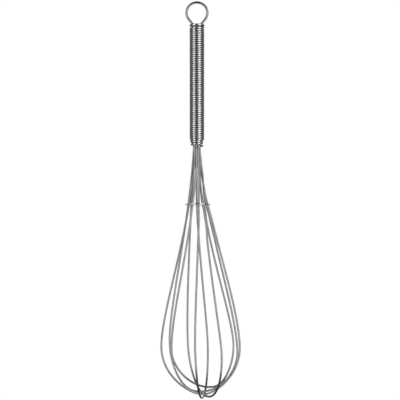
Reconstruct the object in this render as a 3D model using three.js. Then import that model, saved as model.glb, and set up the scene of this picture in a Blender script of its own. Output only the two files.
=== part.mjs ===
// A balloon whisk of steel wire, hanging from its loop. Millimetres, +Z up.
// Five bent wires make the balloon. Their ten legs pass through a thin round plate and run up
// inside the handle, where a close winding binds them round the two legs of the hanging loop.
// The origin is the point inside the top of the hanging loop that rests on a hook.
import * as THREE from 'three';

// Gauges and counts
const WIRE = 1.5;              // balloon wires
const LOOP_WIRE = 1.8;         // hanging loop
const COIL_WIRE = 1.6;         // wire wound round the handle
const BALLOON_WIRES = 5;

// Clearances
const LEG_GAP = 0.12;          // between neighbouring legs in the handle
const GRIP_SLACK = 0.43;       // between the legs and the winding along the grip
const TAIL_SLACK = 0.2;        // between them where the winding draws in below the grip
const TURN_GAP = 0.45;         // between neighbouring turns of the winding
const HOLE_GAP = 0.25;         // round a wire in its hole in the plate
const NEST_GAP = 0.45;         // between balloon wires where they cross at the bottom

// Hanging loop
const LOOP_INSIDE = 14;        // diameter of the eye
const LOOP_LEG_ANGLE = 38;     // of the legs to the vertical, above the handle, in degrees
const LOOP_BEND = 3;           // height in which a leg turns upright inside the handle
const LOOP_LEG_STOP = 25;      // height of the legs' ends above the lower end of the grip

// Handle
const GRIP_LENGTH = 87.3;      // close-wound length
const LIP_SPREAD = 0.17;       // how far the loop's legs push the uppermost turn out
const TAIL_TURNS = 3.5;        // turns that draw in below the grip
const TAIL_STRETCH = 0.85;     // extra drop of those turns
const CUT_END = 2.4;           // straight run of the winding's two cut ends

// Balloon
const FLARE_LENGTH = 151.9;    // from the handle down to the widest place
const NECK_REACH = 59.4;       // how far the wires hold to the line on which they leave the handle
const NECK_OPENING = 3;        // how far that line opens outwards
const BELLY_REACH = 28;        // how far they hold to the belly's line above the widest place
const BALLOON_WIDTH = 62.6;    // outside, across the plane of one wire
const BELLY_DEPTH = 38.8;      // from the widest place to the middle of the lowest wire
const BOW_DROP = 0.48;         // share of that depth for which a wire holds to the belly's line
const BOW_SPREAD = 0.55;       // share of the width for which it holds to its lowest line
const LEAN_DROP = 45.6;        // below the handle, where the balloon starts to lean sideways
const BALLOON_LEAN = 2.36;     // in degrees
const FIRST_PLANE = 81;        // direction of the innermost wire's plane in the handle, in degrees
const BALLOON_TWIST = 37.5;    // turn of the balloon against its legs in the handle, in degrees

// How far each hand-bent wire is out of true, from the innermost wire:
// turn of its belly in degrees, sideways shift of its belly, the lowest point's place along its
// plane, aside from it and above its own nest in nest steps, changes of the bow's two shares, and
// changes of the neck's opening and of the belly's reach on its two sides
const HAND_BENT = [
  { turn: -3.7, shift: 0.4, along: 7.1, aside: -1.7, rise: 0.35, drop: -0.05, spread: 0.01,
    opening: [-0.4, -0.1], reach: [-3.5, 0.7] },
  { turn: 6.2, shift: -1.35, along: 0.8, aside: -0.3, rise: -1.31, drop: 0.06, spread: -0.2,
    opening: [1.3, -0.8], reach: [11, -0.7] },
  { turn: -4.6, shift: 0.1, along: -6.7, aside: -1.9, rise: 0.68, drop: -0.05, spread: 0.08,
    opening: [-0.1, 0.4], reach: [5.8, -0.1] },
  { turn: -1, shift: 1.05, along: -1.6, aside: 0.8, rise: -0.21, drop: 0.02, spread: 0.07,
    opening: [-2.1, 0.6], reach: [-14.8, 3.6] },
  { turn: 1.6, shift: -0.8, along: -5.4, aside: -1.3, rise: 0, drop: 0.03, spread: 0.05,
    opening: [-0.2, 0], reach: [-1.4, -1] },
];
const TRUE_BENT = { turn: 0, shift: 0, along: 0, aside: 0, rise: 0, drop: 0, spread: 0,
  opening: [0, 0], reach: [0, 0] };

// Spacer plate
const DISC_DROP = 43.9;        // below the handle
const DISC_THICKNESS = 0.5;
const DISC_RIM = 0.47;         // plate left outside the outermost hole
const DISC_TILT = 4;           // front edge up, in degrees

// Facets
const WIRE_SIDES = 8;
const COIL_SIDES = 5;
const TURN_STEPS = 8;
const START_STEP = 3;          // step of a turn, counted from +X, at which the winding starts
const DISC_SIDES = 40;
const HOLE_SIDES = 12;

// Bundle of legs inside the handle: a ring of balloon legs round the two legs of the loop,
// which closes up below the loop's legs
const wireRadius = WIRE / 2;
const loopWireRadius = LOOP_WIRE / 2;
const loopLegX = loopWireRadius + LEG_GAP / 2;
const legPitchRing = (WIRE + LEG_GAP) / (2 * Math.sin(Math.PI / (2 * BALLOON_WIRES)));
const legRing = Math.max(legPitchRing, loopLegX + loopWireRadius + LEG_GAP + wireRadius);
const bundleRadius = legRing + wireRadius;
const mouthRing = legPitchRing;
const mouthRadius = mouthRing + wireRadius;

// Winding: the flats between its facet corners keep clear of the bundle
const coilRadius = COIL_WIRE / 2;
const turns = Math.max(1, Math.floor((GRIP_LENGTH - COIL_WIRE) / COIL_WIRE));
const pitch = (GRIP_LENGTH - COIL_WIRE) / turns;
const coilSection = Array.from({ length: COIL_SIDES }, (_, i) => {
  const turn = (2 * Math.PI * i) / COIL_SIDES;
  return new THREE.Vector2(coilRadius * Math.cos(turn), ((pitch - TURN_GAP) / 2) * Math.sin(turn));
});
const sectionInside = Math.min(...coilSection.map((corner) => corner.x));
const lipRise = Math.max(...coilSection.filter((corner) => corner.x < 0).map((corner) => corner.y));
const facetReach = 1 / Math.cos(Math.PI / TURN_STEPS);
const gripBore = bundleRadius + GRIP_SLACK;
const gripRadius = gripBore * facetReach - sectionInside;
const tailRadius = (mouthRadius + TAIL_SLACK) * facetReach - sectionInside;

// Heights, from the hook downwards
const loopLean = THREE.MathUtils.degToRad(LOOP_LEG_ANGLE);
const loopRadius = LOOP_INSIDE / 2 + loopWireRadius;
const loopCentreZ = -LOOP_INSIDE / 2;
const lipBore = gripBore * facetReach + LIP_SPREAD;
const loopNeckX = lipBore - LEG_GAP - loopWireRadius / Math.cos(loopLean);
const lipZ = loopCentreZ - (loopRadius - loopNeckX * Math.cos(loopLean)) / Math.sin(loopLean);
const windingTopZ = lipZ - lipRise;
const gripEndZ = windingTopZ - turns * pitch;
const tailEndZ = gripEndZ - TAIL_TURNS * pitch - TAIL_STRETCH;
const loopFootZ = gripEndZ + LOOP_LEG_STOP;
const bendZ = lipZ - (loopNeckX - loopLegX) / Math.tan(loopLean);
const legTopZ = bendZ - LOOP_BEND;
const widestZ = tailEndZ - FLARE_LENGTH;
const lowestZ = widestZ - BELLY_DEPTH;
const discZ = tailEndZ - DISC_DROP;

const bellyRadius = (BALLOON_WIDTH - WIRE) / 2;
const leanSlope = Math.tan(THREE.MathUtils.degToRad(BALLOON_LEAN));
const firstPlane = THREE.MathUtils.degToRad(FIRST_PLANE);
const balloonTwist = THREE.MathUtils.degToRad(BALLOON_TWIST);

const wireSteel = new THREE.MeshStandardMaterial({ color: 0xb4b7ba, roughness: 0.24, metalness: 1 });
const coilSteel = new THREE.MeshStandardMaterial({ color: 0xaeb1b4, roughness: 0.2, metalness: 1 });
const plateSteel = new THREE.MeshStandardMaterial({ color: 0xa4a7aa, roughness: 0.35, metalness: 1 });

const whisk = new THREE.Group();

function addPiece(name, geometry, material) {
  const piece = new THREE.Mesh(geometry, material);
  piece.name = name;
  whisk.add(piece);
}

function ringOfPoints(radius, sides, x = 0, y = 0) {
  return Array.from({ length: sides }, (_, i) => {
    const turn = (2 * Math.PI * i) / sides;
    return new THREE.Vector2(x + radius * Math.cos(turn), y + radius * Math.sin(turn));
  });
}

// A wire's centre line, made of joined curves that each take their own number of steps
class WireLine extends THREE.Curve {
  constructor(stretches) {
    super();
    this.stretches = stretches;
    this.steps = stretches.reduce((sum, stretch) => sum + stretch.steps, 0);
  }

  getPoint(t, target = new THREE.Vector3()) {
    let step = t * this.steps;
    for (const { curve, steps } of this.stretches) {
      if (step <= steps) return target.copy(curve.getPoint(step / steps));
      step -= steps;
    }
    return target.copy(this.stretches.at(-1).curve.getPoint(1));
  }

  getUtoTmapping(u) {
    return u;
  }
}

function wireAlong(gauge, stretches) {
  const line = new WireLine(stretches);
  const section = new THREE.Shape(ringOfPoints(gauge / 2, WIRE_SIDES));
  return new THREE.ExtrudeGeometry(section, { extrudePath: line, steps: line.steps, bevelEnabled: false });
}

// Hanging loop, flat in the XZ plane: both legs climb the middle of the bundle, lean out over
// the winding's upper lip and run into the round eye
class EyeArc extends THREE.Curve {
  getPoint(t, target = new THREE.Vector3()) {
    const turn = -loopLean + t * (Math.PI + 2 * loopLean);
    return target.set(loopRadius * Math.cos(turn), 0, loopCentreZ + loopRadius * Math.sin(turn));
  }
}

function loopLeg(side) {
  const foot = new THREE.Vector3(side * loopLegX, 0, loopFootZ);
  const bendFoot = new THREE.Vector3(side * loopLegX, 0, legTopZ);
  const bendCorner = new THREE.Vector3(side * loopLegX, 0, bendZ);
  const lip = new THREE.Vector3(side * loopNeckX, 0, lipZ);
  const eyeX = side * loopRadius * Math.cos(loopLean);
  const eyeEnd = new THREE.Vector3(eyeX, 0, loopCentreZ - loopRadius * Math.sin(loopLean));
  return { foot, bendFoot, bendCorner, lip, eyeEnd };
}

function hangingLoop() {
  const right = loopLeg(1);
  const left = loopLeg(-1);
  return wireAlong(LOOP_WIRE, [
    { curve: new THREE.LineCurve3(right.foot, right.bendFoot), steps: 1 },
    { curve: new THREE.QuadraticBezierCurve3(right.bendFoot, right.bendCorner, right.lip), steps: 4 },
    { curve: new THREE.LineCurve3(right.lip, right.eyeEnd), steps: 1 },
    { curve: new EyeArc(), steps: 24 },
    { curve: new THREE.LineCurve3(left.eyeEnd, left.lip), steps: 1 },
    { curve: new THREE.QuadraticBezierCurve3(left.lip, left.bendCorner, left.bendFoot), steps: 4 },
    { curve: new THREE.LineCurve3(left.bendFoot, left.foot), steps: 1 },
  ]);
}

addPiece('hanging_loop', hangingLoop(), wireSteel);

// Balloon wires: each is one loop. Below the handle its legs flare out to the belly, where the
// whole balloon is turned against them, and a full bow joins them at the bottom. Each wire hangs
// under the one before it and is turned by an equal share of half a turn.
function leanShift(z) {
  return Math.max(0, tailEndZ - LEAN_DROP - z) * leanSlope;
}

function planePoint(plane, shift, radius, z, aside = 0) {
  const x = leanShift(z) + shift + radius * Math.cos(plane) - aside * Math.sin(plane);
  return new THREE.Vector3(x, radius * Math.sin(plane) + aside * Math.cos(plane), z);
}

function wireHalf(index, side) {
  const evenPlane = firstPlane - (index * Math.PI) / BALLOON_WIRES;
  const bend = HAND_BENT[index] ?? TRUE_BENT;
  const half = side > 0 ? 0 : 1;
  const bentPlane = evenPlane - balloonTwist + THREE.MathUtils.degToRad(bend.turn);
  const bottomZ = lowestZ + (BALLOON_WIRES - 1 - index + bend.rise) * (WIRE + NEST_GAP);
  const neckPoint = (radius, z) => planePoint(evenPlane, 0, side * radius, z);
  const bellyPoint = (radius, z) => planePoint(bentPlane, bend.shift, side * radius, z);
  const bottomPoint = (reach) => {
    const radius = bend.along + side * reach;
    return planePoint(bentPlane, bend.shift, radius, bottomZ, bend.aside);
  };
  const closing = neckPoint(legRing, loopFootZ);
  const mouth = neckPoint(mouthRing, tailEndZ);
  const widest = bellyPoint(bellyRadius, widestZ);
  const leg = new THREE.LineCurve3(neckPoint(legRing, legTopZ), closing);
  const closed = new THREE.LineCurve3(closing, mouth);
  const flare = new THREE.CubicBezierCurve3(
    mouth,
    neckPoint(mouthRing + NECK_OPENING + bend.opening[half], tailEndZ - NECK_REACH),
    bellyPoint(bellyRadius, widestZ + BELLY_REACH + bend.reach[half]),
    widest,
  );
  const bow = new THREE.CubicBezierCurve3(
    widest,
    bellyPoint(bellyRadius, widestZ + (bottomZ - widestZ) * (BOW_DROP + bend.drop)),
    bottomPoint((bellyRadius - side * bend.along) * (BOW_SPREAD + bend.spread)),
    bottomPoint(0),
  );
  return { leg, closed, flare, bow };
}

function reversed(curve) {
  if (curve.isLineCurve3) return new THREE.LineCurve3(curve.v2, curve.v1);
  return new THREE.CubicBezierCurve3(curve.v3, curve.v2, curve.v1, curve.v0);
}

function balloonWire(index) {
  const down = wireHalf(index, 1);
  const up = wireHalf(index, -1);
  return wireAlong(WIRE, [
    { curve: down.leg, steps: 1 },
    { curve: down.closed, steps: 1 },
    { curve: down.flare, steps: 14 },
    { curve: down.bow, steps: 9 },
    { curve: reversed(up.bow), steps: 9 },
    { curve: reversed(up.flare), steps: 14 },
    { curve: reversed(up.closed), steps: 1 },
    { curve: reversed(up.leg), steps: 1 },
  ]);
}

for (let index = 0; index < BALLOON_WIRES; index += 1) {
  addPiece(`balloon_wire_${index + 1}`, balloonWire(index), wireSteel);
}

// Spacer plate: a thin disc, a little askew, with one hole for each leg where it passes through
const discPlace = new THREE.Matrix4().makeRotationX(THREE.MathUtils.degToRad(-DISC_TILT));
discPlace.setPosition(0, 0, discZ);

function holeCentre(flare) {
  const toDisc = discPlace.clone().invert();
  let above = 0;
  let below = 1;
  for (let halving = 0; halving < 40; halving += 1) {
    const middle = (above + below) / 2;
    if (flare.getPoint(middle).applyMatrix4(toDisc).z > 0) above = middle;
    else below = middle;
  }
  return flare.getPoint(above).applyMatrix4(toDisc);
}

function spacerDisc() {
  const holeRadius = (wireRadius + HOLE_GAP) / Math.cos(Math.PI / HOLE_SIDES);
  const centres = [];
  for (let index = 0; index < BALLOON_WIRES; index += 1) {
    for (const side of [1, -1]) centres.push(holeCentre(wireHalf(index, side).flare));
  }
  const middle = centres.reduce((sum, centre) => sum.add(centre), new THREE.Vector3());
  middle.divideScalar(centres.length);
  const holeRing = Math.max(...centres.map((centre) => centre.distanceTo(middle)));
  const rimRadius = holeRing + holeRadius + DISC_RIM;
  const plate = new THREE.Shape(ringOfPoints(rimRadius, DISC_SIDES, middle.x, middle.y));
  for (const { x, y } of centres) {
    plate.holes.push(new THREE.Path(ringOfPoints(holeRadius, HOLE_SIDES, x, y)));
  }
  const geometry = new THREE.ExtrudeGeometry(plate, { depth: DISC_THICKNESS, bevelEnabled: false });
  return geometry.translate(0, 0, -DISC_THICKNESS / 2).applyMatrix4(discPlace);
}

addPiece('spacer_disc', spacerDisc(), plateSteel);

// Winding: one wire in a right-handed helix, close along the grip. The loop's legs spread its
// uppermost turn. Below the grip the turns draw in on the bundle and open out. Both cut ends
// run straight and stand off.
function windingRing(turn) {
  const tail = Math.max(0, (turn - turns) / TAIL_TURNS);
  const angle = (START_STEP / TURN_STEPS - turn) * 2 * Math.PI;
  const spread = LIP_SPREAD * (1 - THREE.MathUtils.smoothstep(turn, 0.5, 1.5));
  const drawnIn = (gripRadius - tailRadius) * THREE.MathUtils.smoothstep(tail, 0, 1);
  const radius = gripRadius + spread - drawnIn;
  const outward = new THREE.Vector3(Math.cos(angle), Math.sin(angle), 0);
  const centre = outward.clone().multiplyScalar(radius);
  centre.z = windingTopZ - turn * pitch - TAIL_STRETCH * tail * tail;
  return { centre, outward };
}

function straightEnd(ring, direction) {
  const along = new THREE.Vector3(-ring.outward.y, ring.outward.x, 0).multiplyScalar(direction * CUT_END);
  return { centre: ring.centre.clone().add(along), outward: ring.outward };
}

function windingRings() {
  const steps = Math.round((turns + TAIL_TURNS) * TURN_STEPS);
  const rings = Array.from({ length: steps + 1 }, (_, i) => windingRing(i / TURN_STEPS));
  return [straightEnd(rings[0], 1), ...rings, straightEnd(rings.at(-1), -1)];
}

function ringCorners({ centre, outward }) {
  return coilSection.map(({ x, y }) => {
    const corner = centre.clone().addScaledVector(outward, x);
    corner.z += y;
    return corner;
  });
}

function wireThroughRings(rings) {
  const index = [];
  for (let ring = 0; ring < rings.length - 1; ring += 1) {
    for (let side = 0; side < COIL_SIDES; side += 1) {
      const a = ring * COIL_SIDES + side;
      const b = ring * COIL_SIDES + ((side + 1) % COIL_SIDES);
      index.push(a, b, b + COIL_SIDES, a, b + COIL_SIDES, a + COIL_SIDES);
    }
  }
  const lastRing = (rings.length - 1) * COIL_SIDES;
  for (let side = 1; side < COIL_SIDES - 1; side += 1) {
    index.push(0, side + 1, side);
    index.push(lastRing, lastRing + side, lastRing + side + 1);
  }
  const geometry = new THREE.BufferGeometry().setFromPoints(rings.flat());
  geometry.setIndex(index);
  geometry.computeVertexNormals();
  return geometry;
}

// Least distance between the corners of rings that lie about one turn apart
function leastTurnGap(rings) {
  let least = Infinity;
  rings.forEach((ring, i) => {
    const neighbours = rings.slice(i + TURN_STEPS / 2, i + 2 * TURN_STEPS).flat();
    for (const corner of ring) {
      for (const other of neighbours) least = Math.min(least, corner.distanceTo(other));
    }
  });
  return least;
}

const windingCorners = windingRings().map(ringCorners);
addPiece('handle_coil', wireThroughRings(windingCorners), coilSteel);
console.log(`least gap between turns of the winding: ${leastTurnGap(windingCorners).toFixed(3)} mm`);

export default whisk;
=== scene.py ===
import math

import bmesh
import bpy
from mathutils import Matrix, Vector
from mathutils.geometry import interpolate_bezier, intersect_line_plane


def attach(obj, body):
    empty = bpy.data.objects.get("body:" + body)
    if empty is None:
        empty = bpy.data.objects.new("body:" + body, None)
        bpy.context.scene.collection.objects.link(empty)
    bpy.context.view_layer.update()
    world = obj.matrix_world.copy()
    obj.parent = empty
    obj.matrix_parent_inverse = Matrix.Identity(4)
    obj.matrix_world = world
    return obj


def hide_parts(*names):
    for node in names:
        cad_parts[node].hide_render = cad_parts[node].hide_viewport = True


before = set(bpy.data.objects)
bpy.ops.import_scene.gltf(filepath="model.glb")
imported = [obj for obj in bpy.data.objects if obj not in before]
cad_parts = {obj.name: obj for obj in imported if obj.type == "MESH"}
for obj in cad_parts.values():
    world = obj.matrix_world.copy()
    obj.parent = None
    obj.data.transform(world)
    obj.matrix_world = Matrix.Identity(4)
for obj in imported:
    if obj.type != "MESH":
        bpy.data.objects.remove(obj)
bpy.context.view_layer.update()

# Balloon wires: five lengths of bright drawn stainless wire, each bent by hand over a former
# into one long loop. The loops nest and turn by equal shares of half a turn, so that their bows
# cross at the bottom, and their ten legs run up side by side inside the handle.
WIRE_COUNT = 5
WIRE = 0.0015
WIRE_SIDES = 16
WIRE_CHAMFER = 0.00012
WELD_DISTANCE = 0.0000001
LEG_RING = 0.00273
LEG_TOP = -0.0216
LEG_CLOSING = -0.07686
MOUTH_RING = 0.00238
MOUTH = -0.10836
NECK_REACH = 0.0594
NECK_RING = 0.00562
BELLY_REACH = 0.028
BELLY_RADIUS = 0.03055
WIDEST = -0.26026
LOWEST = -0.29907
NEST_STEP = 0.00195
BOW_DROP = 0.48
BOW_SPREAD = 0.55
LEAN_START = -0.15396
BALLOON_LEAN = math.tan(math.radians(2.36))
FIRST_PLANE = math.radians(81)
BALLOON_TWIST = math.radians(37.5)
FLARE_STEPS = 72
BOW_STEPS = 44
# Each wire out of true: turn, sideways shift, lowest point along and aside, rise in nest steps,
# changes of the bow's drop and spread, of the neck's opening and the belly's reach on both sides
HAND_BENT = [
    (-3.7, 0.0004, 0.0071, -0.0017, 0.35, -0.05, 0.01, (-0.0004, -0.0001), (-0.0035, 0.0007)),
    (6.2, -0.00135, 0.0008, -0.0003, -1.31, 0.11, -0.2, (0.0013, -0.0008), (0.011, -0.0007)),
    (-4.6, 0.0001, -0.0067, -0.0019, 0.68, -0.05, 0.08, (-0.0001, 0.0004), (0.0058, -0.0001)),
    (-1, 0.00105, -0.0016, 0.0008, -0.21, 0.02, 0.07, (-0.0021, 0.0006), (-0.0148, 0.0036)),
    (1.6, -0.0008, -0.0054, -0.0013, 0, 0.03, 0.05, (-0.0002, 0), (-0.0014, -0.001)),
]
# Legs bent a little sideways near the spacer disc, by wire and half: each bend's height and shift
LEG_BENDS = {
    (0, 1): [(-0.14565, 0), (-0.15701, 0.00068), (-0.16685, 0.00015), (-0.18124, 0)],
    (0, -1): [(-0.11082, 0), (-0.12142, 0.00038), (-0.13657, 0.00023), (-0.15095, 0)],
    (1, 1): [(-0.12748, 0), (-0.14111, -0.00019), (-0.16988, 0.00086), (-0.2509, 0)],
    (1, -1): [(-0.11082, 0), (-0.11991, 0.00034), (-0.12748, 0.0003), (-0.13505, 0)],
    (2, 1): [
        (-0.10855, -0.00038), (-0.12823, -0.00011), (-0.14868, -0.00136), (-0.1608, -0.00034),
        (-0.17821, 0),
    ],
    (3, 1): [
        (-0.12294, 0), (-0.13657, -0.00098), (-0.14792, -0.0009), (-0.15852, 0),
        (-0.16837, 0.00049), (-0.18124, 0),
    ],
    (3, -1): [(-0.12218, 0), (-0.13278, 0.00053), (-0.14717, 0)],
    (4, 1): [(-0.15095, 0), (-0.16685, 0.00026), (-0.18275, 0)],
    (4, -1): [(-0.11688, 0), (-0.12975, 0.00076), (-0.15095, 0.00019), (-0.16004, 0)],
}
WIRE_BRIGHT = (0.51, 0.507, 0.502, 1)
WIRE_DULL = (0.43, 0.427, 0.422, 1)
WIRE_SMOOTH = 0.28
WIRE_ROUGH = 0.34
DRAW_LINES = (9000, 9000, 60)
DRAW_LINE_DEPTH = 0.000004
TONE_PATCHES = (700, 700, 150)


def start_wire(gauge, place, heading, outward):
    """A new wire: the chamfered rim of its cut end, pulled on to its first full ring."""
    wire = bmesh.new()
    drawn = wire.verts.layers.float_vector.new("drawn")
    bmesh.ops.create_circle(wire, segments=WIRE_SIDES, radius=gauge / 2, cap_ends=False)
    for corner in wire.verts:
        corner[drawn] = corner.co
    turn = Matrix((outward, heading.cross(outward), heading)).transposed()
    bmesh.ops.rotate(wire, verts=wire.verts[:], cent=(0, 0, 0), matrix=turn)
    bmesh.ops.translate(wire, verts=wire.verts[:], vec=place)
    end = straight(wire, wire.edges[:], heading * WIRE_CHAMFER)
    rim = [corner for corner in wire.verts if (corner.co - place).dot(heading) < WIRE_CHAMFER / 2]
    narrow_rim(wire, rim, gauge, place)
    return wire, end


def straight(wire, end, reach):
    """Draws the open end straight on."""
    made = bmesh.ops.extrude_edge_only(wire, edges=end)["geom"]
    ring = [part for part in made if isinstance(part, bmesh.types.BMVert)]
    bmesh.ops.translate(wire, verts=ring, vec=reach)
    return [part for part in made if isinstance(part, bmesh.types.BMEdge)]


def narrow_rim(wire, rim, gauge, place):
    """Narrows a ring to the rim of a chamfered cut end."""
    size = 1 - 2 * WIRE_CHAMFER / gauge
    bmesh.ops.scale(wire, verts=rim, vec=(size, size, size), space=Matrix.Translation(-place))


def draw_through(wire, end, path):
    """Draws the open end on through the points of a path, turned to follow every bend."""
    runs = [(after - before).normalized() for before, after in zip(path, path[1:])]
    headings = [runs[0]] + [before + after for before, after in zip(runs, runs[1:])] + [runs[-1]]
    for step in range(1, len(path)):
        end = straight(wire, end, path[step] - path[step - 1])
        ring = list({corner for edge in end for corner in edge.verts})
        turn = headings[step - 1].rotation_difference(headings[step])
        bmesh.ops.rotate(wire, verts=ring, cent=path[step], matrix=turn.to_matrix())
    return end


def cut_wire(wire, end, gauge, place, heading):
    """Cuts the wire off at its open end, with a chamfered rim."""
    end = straight(wire, end, heading * WIRE_CHAMFER)
    rim = list({corner for edge in end for corner in edge.verts})
    narrow_rim(wire, rim, gauge, place + heading * WIRE_CHAMFER)


def measure_wire(wire):
    """Writes each ring's distance along the wire, welds its stretches and closes its cut ends."""
    drawn = wire.verts.layers.float_vector["drawn"]
    wire.verts.ensure_lookup_table()
    length = 0
    middle = None
    for first in range(0, len(wire.verts), WIRE_SIDES):
        ring = wire.verts[first:first + WIRE_SIDES]
        before = middle
        middle = sum((corner.co for corner in ring), Vector()) / WIRE_SIDES
        length += (middle - before).length if before else 0
        for corner in ring:
            corner[drawn].z = length
    bmesh.ops.remove_doubles(wire, verts=wire.verts[:], dist=WELD_DISTANCE)
    for face in wire.faces:
        face.smooth = True
    rims = [edge for edge in wire.edges if edge.is_boundary]
    bmesh.ops.edgeloop_fill(wire, edges=rims)
    for edge in rims:
        edge.smooth = False
    bmesh.ops.recalc_face_normals(wire, faces=wire.faces[:])


def finished_piece(shape, name, finish):
    """Makes a finished shape a piece of the whisk that stands for the node of its name."""
    mesh = bpy.data.meshes.new(name)
    shape.to_mesh(mesh)
    shape.free()
    piece = bpy.data.objects.new(name + "_bright", mesh)
    bpy.context.scene.collection.objects.link(piece)
    mesh.materials.append(finish)
    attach(piece, "root")
    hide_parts(name)


def drawn_steel(name, bright, dull, rough_low, rough_high):
    """Drawn stainless wire: draw lines run along it and its tone wanders along its length."""
    steel = bpy.data.materials.new(name)
    steel.use_nodes = True
    nodes, links = steel.node_tree.nodes, steel.node_tree.links
    shader = nodes["Principled BSDF"]
    shader.inputs["Metallic"].default_value = 1
    lay = nodes.new("ShaderNodeAttribute")
    lay.attribute_name = "drawn"
    lines_place = nodes.new("ShaderNodeMapping")
    lines_place.inputs["Scale"].default_value = DRAW_LINES
    lines = nodes.new("ShaderNodeTexNoise")
    lines.inputs["Scale"].default_value = 1
    lines.inputs["Detail"].default_value = 3
    links.new(lay.outputs["Vector"], lines_place.inputs["Vector"])
    links.new(lines_place.outputs["Vector"], lines.inputs["Vector"])
    tone_place = nodes.new("ShaderNodeMapping")
    tone_place.inputs["Scale"].default_value = TONE_PATCHES
    tone = nodes.new("ShaderNodeTexNoise")
    tone.inputs["Scale"].default_value = 1
    tone.inputs["Detail"].default_value = 4
    links.new(lay.outputs["Vector"], tone_place.inputs["Vector"])
    links.new(tone_place.outputs["Vector"], tone.inputs["Vector"])
    colour = nodes.new("ShaderNodeValToRGB")
    colour.color_ramp.elements[0].position = 0.30
    colour.color_ramp.elements[0].color = dull
    colour.color_ramp.elements[1].position = 0.62
    colour.color_ramp.elements[1].color = bright
    links.new(tone.outputs["Fac"], colour.inputs["Fac"])
    links.new(colour.outputs["Color"], shader.inputs["Base Color"])
    rough = nodes.new("ShaderNodeMapRange")
    rough.inputs["From Min"].default_value = 0.3
    rough.inputs["From Max"].default_value = 0.7
    rough.inputs["To Min"].default_value = rough_low
    rough.inputs["To Max"].default_value = rough_high
    links.new(lines.outputs["Fac"], rough.inputs["Value"])
    links.new(rough.outputs["Result"], shader.inputs["Roughness"])
    relief = nodes.new("ShaderNodeBump")
    relief.inputs["Strength"].default_value = 0.2
    relief.inputs["Distance"].default_value = DRAW_LINE_DEPTH
    links.new(lines.outputs["Fac"], relief.inputs["Height"])
    links.new(relief.outputs["Normal"], shader.inputs["Normal"])
    return steel


def plane_point(plane, shift, radius, height, aside=0):
    """A point of a balloon wire's upright plane, moved sideways as the balloon leans."""
    lean = max(0, LEAN_START - height) * BALLOON_LEAN
    x = lean + shift + radius * math.cos(plane) - aside * math.sin(plane)
    return Vector((x, radius * math.sin(plane) + aside * math.cos(plane), height))


def leg_bend(index, side, height):
    """How far a leg is bent sideways at a height, eased from each of its bends to the next."""
    bends = LEG_BENDS.get((index, side), [(MOUTH, 0)])
    if height > bends[0][0]:
        return bends[0][1]
    for (above, start), (below, stop) in zip(bends, bends[1:]):
        if height > below:
            share = (above - height) / (above - below)
            return start + (stop - start) * share * share * (3 - 2 * share)
    return bends[-1][1]


def balloon_half(index, side):
    """Centre line of half a balloon wire, from its cut end in the handle to its lowest point."""
    turn, shift, along, aside, rise, drop, spread, opening, reach = HAND_BENT[index]
    half = 0 if side > 0 else 1
    even = FIRST_PLANE - index * math.pi / WIRE_COUNT
    bent = even - BALLOON_TWIST + math.radians(turn)
    bottom = LOWEST + (WIRE_COUNT - 1 - index + rise) * NEST_STEP
    bow_reach = WIDEST + (bottom - WIDEST) * (BOW_DROP + drop)
    bow_spread = (side * BELLY_RADIUS - along) * (BOW_SPREAD + spread)
    mouth = plane_point(even, 0, side * MOUTH_RING, MOUTH)
    widest = plane_point(bent, shift, side * BELLY_RADIUS, WIDEST)
    flare = interpolate_bezier(
        mouth,
        plane_point(even, 0, side * (NECK_RING + opening[half]), MOUTH - NECK_REACH),
        plane_point(bent, shift, side * BELLY_RADIUS, WIDEST + BELLY_REACH + reach[half]),
        widest,
        FLARE_STEPS,
    )
    for place in flare:
        place.x += leg_bend(index, side, place.z)
    bow = interpolate_bezier(
        widest,
        plane_point(bent, shift, side * BELLY_RADIUS, bow_reach),
        plane_point(bent, shift, along + bow_spread, bottom, aside),
        plane_point(bent, shift, along, bottom, aside),
        BOW_STEPS,
    )
    leg = [plane_point(even, 0, side * LEG_RING, height) for height in (LEG_TOP, LEG_CLOSING)]
    return leg + flare + bow[1:]


up = Vector((0, 0, 1))
wire_steel = drawn_steel("wire_steel", WIRE_BRIGHT, WIRE_DULL, WIRE_SMOOTH, WIRE_ROUGH)
leg_paths = []
for index in range(WIRE_COUNT):
    right_half, left_half = balloon_half(index, 1), balloon_half(index, -1)
    leg_paths += [right_half, left_half]
    path = right_half + left_half[-2::-1]
    outward = (path[0] - Vector((0, 0, LEG_TOP))).normalized()
    wire, end = start_wire(WIRE, path[0] + up * WIRE_CHAMFER, -up, outward)
    end = draw_through(wire, end, path)
    cut_wire(wire, end, WIRE, path[-1], up)
    measure_wire(wire)
    finished_piece(wire, f"balloon_wire_{index + 1}", wire_steel)

# Spacer disc: a thin round plate stamped from stainless sheet, with ten holes that hold the legs
# apart below the handle. It is threaded on before the winding and sits a little askew.
DISC_HEIGHT = -0.15226
DISC_THICKNESS = 0.0005
DISC_RADIUS = 0.00988
DISC_SHIFT = (0.00067, 0.00014)
DISC_TILT = math.radians(-4.8)
DISC_EDGE = 0.00009
DISC_SIDES = 120
HOLE_RADIUS = 0.00092
HOLE_SIDES = 28
CUT_ANGLE = math.radians(60)
CREASE_ANGLE = math.radians(40)
PLATE_BRIGHT = (0.76, 0.76, 0.755, 1)
PLATE_DULL = (0.64, 0.64, 0.637, 1)
PLATE_SMOOTH = 0.1
PLATE_ROUGH = 0.2
PLATE_GRAIN = (120, 9000, 9000)
PLATE_GRAIN_DEPTH = 0.00002

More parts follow.
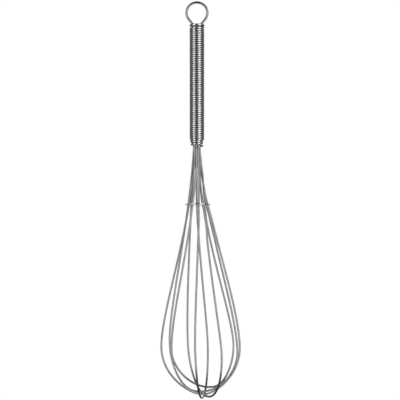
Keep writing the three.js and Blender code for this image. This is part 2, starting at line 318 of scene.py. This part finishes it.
disc_middle = Vector((*DISC_SHIFT, DISC_HEIGHT))
disc_place = Matrix.Translation(disc_middle) @ Matrix.Rotation(DISC_TILT, 4, "X")
disc_normal = disc_place.to_3x3() @ up
disc = bmesh.new()
bmesh.ops.create_circle(disc, segments=DISC_SIDES, radius=DISC_RADIUS, cap_ends=False)
for path in leg_paths:
    crossing = next(
        (above, below) for above, below in zip(path, path[1:])
        if (below - disc_middle).dot(disc_normal) < 0
    )
    hole = disc_place.inverted() @ intersect_line_plane(*crossing, disc_middle, disc_normal)
    bmesh.ops.create_circle(
        disc, segments=HOLE_SIDES, radius=HOLE_RADIUS, cap_ends=False,
        matrix=Matrix.Translation(hole),
    )
bmesh.ops.triangle_fill(disc, use_beauty=True, use_dissolve=False, edges=disc.edges[:])
lower_face = bmesh.ops.extrude_face_region(disc, geom=disc.faces[:])["geom"]
lower_ring = [part for part in lower_face if isinstance(part, bmesh.types.BMVert)]
bmesh.ops.translate(disc, verts=lower_ring, vec=(0, 0, -DISC_THICKNESS))
bmesh.ops.translate(disc, verts=disc.verts[:], vec=(0, 0, DISC_THICKNESS / 2))
bmesh.ops.recalc_face_normals(disc, faces=disc.faces[:])
cut_edges = [edge for edge in disc.edges if edge.calc_face_angle(0) > CUT_ANGLE]
bmesh.ops.bevel(
    disc, geom=cut_edges, offset=DISC_EDGE, segments=2, profile=0.5, affect="EDGES", material=-1
)
bmesh.ops.transform(disc, matrix=disc_place, verts=disc.verts[:])
bmesh.ops.recalc_face_normals(disc, faces=disc.faces[:])
for face in disc.faces:
    face.smooth = True
for edge in disc.edges:
    edge.smooth = edge.calc_face_angle(0) < CREASE_ANGLE

plate_steel = bpy.data.materials.new("plate_steel")
plate_steel.use_nodes = True
nodes, links = plate_steel.node_tree.nodes, plate_steel.node_tree.links
shader = nodes["Principled BSDF"]
shader.inputs["Metallic"].default_value = 1
where = nodes.new("ShaderNodeTexCoord")
grain_place = nodes.new("ShaderNodeMapping")
grain_place.inputs["Scale"].default_value = PLATE_GRAIN
grain = nodes.new("ShaderNodeTexNoise")
grain.inputs["Scale"].default_value = 1
grain.inputs["Detail"].default_value = 4
links.new(where.outputs["Object"], grain_place.inputs["Vector"])
links.new(grain_place.outputs["Vector"], grain.inputs["Vector"])
colour = nodes.new("ShaderNodeValToRGB")
colour.color_ramp.elements[0].position = 0.3
colour.color_ramp.elements[0].color = PLATE_DULL
colour.color_ramp.elements[1].position = 0.7
colour.color_ramp.elements[1].color = PLATE_BRIGHT
links.new(grain.outputs["Fac"], colour.inputs["Fac"])
links.new(colour.outputs["Color"], shader.inputs["Base Color"])
rough = nodes.new("ShaderNodeMapRange")
rough.inputs["To Min"].default_value = PLATE_SMOOTH
rough.inputs["To Max"].default_value = PLATE_ROUGH
links.new(grain.outputs["Fac"], rough.inputs["Value"])
links.new(rough.outputs["Result"], shader.inputs["Roughness"])
relief = nodes.new("ShaderNodeBump")
relief.inputs["Strength"].default_value = 0.2
relief.inputs["Distance"].default_value = PLATE_GRAIN_DEPTH
links.new(grain.outputs["Fac"], relief.inputs["Height"])
links.new(relief.outputs["Normal"], shader.inputs["Normal"])
finished_piece(disc, "spacer_disc", plate_steel)

# Hanging loop: one length of slightly stouter stainless wire, bent to a round eye. Its legs lean
# in over the top of the handle, turn upright inside it and are clamped among the balloon's legs.
LOOP_WIRE = 0.0018
EYE_RADIUS = 0.0079
EYE_HEIGHT = -0.007
LOOP_LEG_X = 0.00096
LOOP_NECK_X = 0.00314
LOOP_LIP = -0.01581
LOOP_LEG_ANGLE = math.radians(38)
LOOP_FOOT = -0.07686
LOOP_BEND_REACH = 0.003
LOOP_BEND_STEPS = 10
EYE_STEPS = 80

lean_out = Vector((math.sin(LOOP_LEG_ANGLE), 0, math.cos(LOOP_LEG_ANGLE)))
eye_middle = Vector((0, 0, EYE_HEIGHT))
eye_side = Vector((math.cos(LOOP_LEG_ANGLE), 0, -math.sin(LOOP_LEG_ANGLE)))
eye_end = eye_middle + EYE_RADIUS * eye_side
corner_drop = (LOOP_NECK_X - LOOP_LEG_X) / math.tan(LOOP_LEG_ANGLE)
bend_corner = Vector((LOOP_LEG_X, 0, LOOP_LIP - corner_drop))
bend_radius = LOOP_BEND_REACH / math.tan(LOOP_LEG_ANGLE / 2)
bend_foot = bend_corner - up * LOOP_BEND_REACH
bend_top = bend_corner + lean_out * LOOP_BEND_REACH
foot = Vector((LOOP_LEG_X, 0, LOOP_FOOT))


def bend_round(wire, end, centre, axis, angle, steps, rise=(0, 0, 0)):
    """Bends the open end round a former: it turns about an axis, and climbs a little each step."""
    spun = bmesh.ops.spin(
        wire, geom=end, cent=centre, axis=axis, dvec=rise, angle=angle, steps=steps,
        use_duplicate=False,
    )["geom_last"]
    return [part for part in spun if isinstance(part, bmesh.types.BMEdge)]


loop, end = start_wire(LOOP_WIRE, foot - up * WIRE_CHAMFER, up, Vector((1, 0, 0)))
end = straight(loop, end, bend_foot - foot)
right_bend = bend_foot + Vector((bend_radius, 0, 0))
end = bend_round(loop, end, right_bend, (0, 1, 0), LOOP_LEG_ANGLE, LOOP_BEND_STEPS)
end = straight(loop, end, eye_end - bend_top)
end = bend_round(loop, end, eye_middle, (0, -1, 0), math.pi + 2 * LOOP_LEG_ANGLE, EYE_STEPS)
end = straight(loop, end, (bend_top - eye_end) * Vector((-1, 1, 1)))
left_bend = Vector((-LOOP_LEG_X - bend_radius, 0, bend_foot.z))
end = bend_round(loop, end, left_bend, (0, 1, 0), LOOP_LEG_ANGLE, LOOP_BEND_STEPS)
end = straight(loop, end, foot - bend_foot)
cut_wire(loop, end, LOOP_WIRE, foot * Vector((-1, 1, 1)), -up)
measure_wire(loop)
finished_piece(loop, "hanging_loop", wire_steel)

# Handle coil: one long stainless wire wound close round the bundle of legs under tension, which
# clamps them. Its first turn is spread by the loop's legs, its last turns draw in on the bundle,
# and both cut ends spring off a little.
COIL_WIRE = 0.00161
COIL_REACH = 0.00488
COIL_TOP = -0.0164
COIL_PITCH = 0.001617
COIL_HALVES = 106
HALF_STEPS = 20
COIL_START = math.radians(135)
# Reach from the handle's axis and drop of the first and the last half turns, one by one
LIP_REACH = [0.00504, 0.00504, 0.00496]
LIP_DROP = [0.0002, 0.00013, 0.0019]
TAIL_REACH = [0.00486, 0.00445, 0.00398, 0.00425, 0.00397, 0.00397, 0.00405]
TAIL_DROP = [0.00081, 0.00075, 0.0007, 0.00093, 0.0008, 0.00115, 0.00083]
WOBBLE = 0.000025
WOBBLE_RATE = 2.4
CUT_END = 0.0024
END_FALL = math.radians(20)
END_BEND = 0.0025
END_STEPS = 4
COIL_BRIGHT = (0.80, 0.796, 0.788, 1)
COIL_DULL = (0.70, 0.696, 0.689, 1)
# Painted shade: the colour of the grooves between the turns and of their inner side
COIL_GROOVE_SHADE = (0.40, 0.396, 0.388, 1)
COIL_SMOOTH = 0.276
COIL_ROUGH = 0.31
# The next two levels across the wire: painted shade in full below the first, gone towards the
# outer side past the second
GROOVE_SHADE_LEVEL = 0.00005
SHADE_CLEAR_LEVEL = 0.0005


def coil_reach(half):
    """How far the wire's middle stands from the handle's axis after so many half turns."""
    if half < len(LIP_REACH):
        return LIP_REACH[half]
    if half > COIL_HALVES:
        return TAIL_REACH[half - COIL_HALVES - 1]
    return COIL_REACH + WOBBLE * math.sin(WOBBLE_RATE * half)


def lay_down(head, end, coil):
    """Adds the stretch just wound to the coil, and keeps only its open end on the winding head."""
    stretch = bpy.data.meshes.new("stretch")
    head.to_mesh(stretch)
    coil.from_mesh(stretch)
    bpy.data.meshes.remove(stretch)
    kept = {corner for edge in end for corner in edge.verts}
    done = [corner for corner in head.verts if corner not in kept]
    bmesh.ops.delete(head, geom=done, context="VERTS")


outward = Vector((math.cos(COIL_START), math.sin(COIL_START), 0))
heading = outward.cross(up)
coil_start = outward * coil_reach(0) + up * COIL_TOP
first_cut = coil_start - heading * (CUT_END + WIRE_CHAMFER)
head, end = start_wire(COIL_WIRE, first_cut, heading, outward)
end = straight(head, end, heading * CUT_END)
coil = bmesh.new()
coil.verts.layers.float_vector.new("drawn")
side = outward
drops = LIP_DROP + [COIL_PITCH / 2] * (COIL_HALVES - len(LIP_DROP)) + TAIL_DROP
for half, drop in enumerate(drops):
    radius = (coil_reach(half) + coil_reach(half + 1)) / 2
    middle = side * (coil_reach(half) - radius)
    end = bend_round(head, end, middle, -up, math.pi, HALF_STEPS, (0, 0, -drop / HALF_STEPS))
    lay_down(head, end, coil)
    side = -side
tail_end = side * coil_reach(len(drops)) + up * (COIL_TOP - sum(drops))
tail_heading = side.cross(up)
end = bend_round(head, end, tail_end - up * END_BEND, side, END_FALL, END_STEPS)
end_heading = tail_heading * math.cos(END_FALL) - up * math.sin(END_FALL)
end_shift = tail_heading * math.sin(END_FALL) - up * (1 - math.cos(END_FALL))
end_place = tail_end + END_BEND * end_shift
end = straight(head, end, end_heading * CUT_END)
cut_wire(head, end, COIL_WIRE, end_place + end_heading * CUT_END, end_heading)
lay_down(head, [], coil)
head.free()
measure_wire(coil)

# Painted shade: the colour darkens across the wire from the outer side of each turn towards the
# grooves between the turns and on their inner side
coil_steel = drawn_steel("coil_steel", COIL_BRIGHT, COIL_DULL, COIL_SMOOTH, COIL_ROUGH)
nodes, links = coil_steel.node_tree.nodes, coil_steel.node_tree.links
across = nodes.new("ShaderNodeSeparateXYZ")
links.new(nodes["Attribute"].outputs["Vector"], across.inputs["Vector"])
groove_shade_mask = nodes.new("ShaderNodeMapRange")
groove_shade_mask.interpolation_type = "SMOOTHSTEP"
groove_shade_mask.inputs["From Min"].default_value = GROOVE_SHADE_LEVEL
groove_shade_mask.inputs["From Max"].default_value = SHADE_CLEAR_LEVEL
links.new(across.outputs["X"], groove_shade_mask.inputs["Value"])
painted_groove_shade = nodes.new("ShaderNodeMix")
painted_groove_shade.data_type = "RGBA"
painted_groove_shade.inputs["A"].default_value = COIL_GROOVE_SHADE
links.new(groove_shade_mask.outputs["Result"], painted_groove_shade.inputs["Factor"])
links.new(nodes["Color Ramp"].outputs["Color"], painted_groove_shade.inputs["B"])
links.new(painted_groove_shade.outputs["Result"], nodes["Principled BSDF"].inputs["Base Color"])
finished_piece(coil, "handle_coil", coil_steel)

# Studio: a pale floor under the hanging whisk and white all round. Screens that glow a dim grey,
# no lamps, are painted dark surroundings that only the steel's reflections show; they keep the
# white off it, and two tall soft lamps light it from the front.
# The floor takes the whisk's shadow, but hides no lamp and stays out of the steel's reflections.
FLOOR_HEIGHT = -0.44
FLOOR_RADIUS = 0.55
FLOOR_SIDES = 96
FLOOR_PALE = (0.82, 0.82, 0.815, 1)
FLOOR_ROUGH = 0.9
SCREEN_RADIUS = 1.1
SCREEN_DEPTH = 2.4
SCREEN_MIDDLE = -0.15
SCREEN_SIDES = 72
LOW_SCREEN_RADIUS = 0.21
LOW_SCREEN_LIFT = 0.005
# The screen's walls are its faces less tilted than UPRIGHT. None stands straight behind the
# whisk, past OPENING_BEHIND, and from SIDE_START back they are grey where the front is dark
UPRIGHT = 0.5
OPENING_BEHIND = 0.92
SIDE_START = -0.3
# Painted dark reflections: the greys the screens glow with, darkest at the front
SCREEN_FRONT = (0.025, 0.025, 0.025, 1)
SCREEN_SIDE = (0.11, 0.11, 0.11, 1)
LAMP_CENTRE = -0.4
LAMP_DISTANCE = 0.7
LAMP_HEIGHT = 1.5
# Each lamp's name, degrees round the whisk from the front, width and power
LAMPS = [("lamp_left", -48.8, 0.37, 3.3), ("lamp_right", 44, 0.46, 4.6)]

floor = bmesh.new()
bmesh.ops.create_circle(floor, segments=FLOOR_SIDES, radius=FLOOR_RADIUS, cap_ends=True)
bmesh.ops.translate(floor, verts=floor.verts[:], vec=(0, 0, FLOOR_HEIGHT))
floor_mesh = bpy.data.meshes.new("floor")
floor.to_mesh(floor_mesh)
floor.free()
floor_piece = bpy.data.objects.new("floor", floor_mesh)
bpy.context.scene.collection.objects.link(floor_piece)
floor_paint = bpy.data.materials.new("floor_paint")
floor_paint.use_nodes = True
shader = floor_paint.node_tree.nodes["Principled BSDF"]
shader.inputs["Base Color"].default_value = FLOOR_PALE
shader.inputs["Roughness"].default_value = FLOOR_ROUGH
floor_mesh.materials.append(floor_paint)
floor_piece.visible_glossy = False
floor_piece.visible_shadow = False

screen = bmesh.new()
bmesh.ops.create_cone(
    screen, cap_ends=True, segments=SCREEN_SIDES, radius1=SCREEN_RADIUS, radius2=SCREEN_RADIUS,
    depth=SCREEN_DEPTH, matrix=Matrix.Translation((0, 0, SCREEN_MIDDLE)),
)
bmesh.ops.create_circle(
    screen, cap_ends=True, segments=SCREEN_SIDES, radius=LOW_SCREEN_RADIUS,
    matrix=Matrix.Translation((0, 0, FLOOR_HEIGHT + LOW_SCREEN_LIFT)),
)
behind = [
    face for face in screen.faces
    if abs(face.normal.z) < UPRIGHT and face.calc_center_median().normalized().y > OPENING_BEHIND
]
bmesh.ops.delete(screen, geom=behind, context="FACES")
screen_mesh = bpy.data.meshes.new("screen")
screen.to_mesh(screen_mesh)
screen.free()
screen_piece = bpy.data.objects.new("screen", screen_mesh)
bpy.context.scene.collection.objects.link(screen_piece)
# The screens' materials glow though they are no lamps: painted dark surroundings for the steel to
# reflect
for name, grey in (("screen_front", SCREEN_FRONT), ("screen_side", SCREEN_SIDE)):
    screen_glow = bpy.data.materials.new(name)
    screen_glow.use_nodes = True
    nodes, links = screen_glow.node_tree.nodes, screen_glow.node_tree.links
    glow = nodes.new("ShaderNodeEmission")
    glow.inputs["Color"].default_value = grey
    links.new(glow.outputs["Emission"], nodes["Material Output"].inputs["Surface"])
    screen_mesh.materials.append(screen_glow)
for face in screen_mesh.polygons:
    upright = abs(face.normal.z) < UPRIGHT
    face.material_index = 1 if upright and face.center.y > SIDE_START else 0
screen_piece.visible_camera = False
screen_piece.visible_diffuse = False
screen_piece.visible_shadow = False
screen_piece.visible_transmission = False

world = bpy.data.worlds.new("white_room")
bpy.context.scene.world = world
world.use_nodes = True
world.node_tree.nodes["Background"].inputs["Color"].default_value = (1, 1, 1, 1)
world.node_tree.nodes["Background"].inputs["Strength"].default_value = 1

lamp_middle = Vector((0, 0, LAMP_CENTRE))
for name, angle, width, power in LAMPS:
    light = bpy.data.lights.new(name, "AREA")
    light.shape = "RECTANGLE"
    light.size = width
    light.size_y = LAMP_HEIGHT
    light.energy = power
    lamp = bpy.data.objects.new(name, light)
    turn = Matrix.Rotation(math.radians(angle), 3, "Z")
    place = lamp_middle + turn @ Vector((0, -LAMP_DISTANCE, 0))
    lamp.location = place
    lamp.rotation_euler = (lamp_middle - place).to_track_quat("-Z", "Y").to_euler()
    lamp.visible_camera = False
    bpy.context.scene.collection.objects.link(lamp)

# Camera: level with the middle of the whisk and square to its hanging loop. A long lens takes it
# from 0.8 m away, so that the whisk fills the picture's height with little perspective.
CAMERA_PLACE = (0.00231, -0.8, -0.14868)
CAMERA_LENS = 95.08
CAMERA_SENSOR = 36

camera_lens = bpy.data.cameras.new("camera")
camera_lens.sensor_width = CAMERA_SENSOR
camera_lens.lens = CAMERA_LENS
camera = bpy.data.objects.new("camera", camera_lens)
camera.location = CAMERA_PLACE
camera.rotation_euler = (math.pi / 2, 0, 0)
bpy.context.scene.collection.objects.link(camera)
bpy.context.scene.camera = camera
bpy.context.scene.view_settings.view_transform = "Standard"
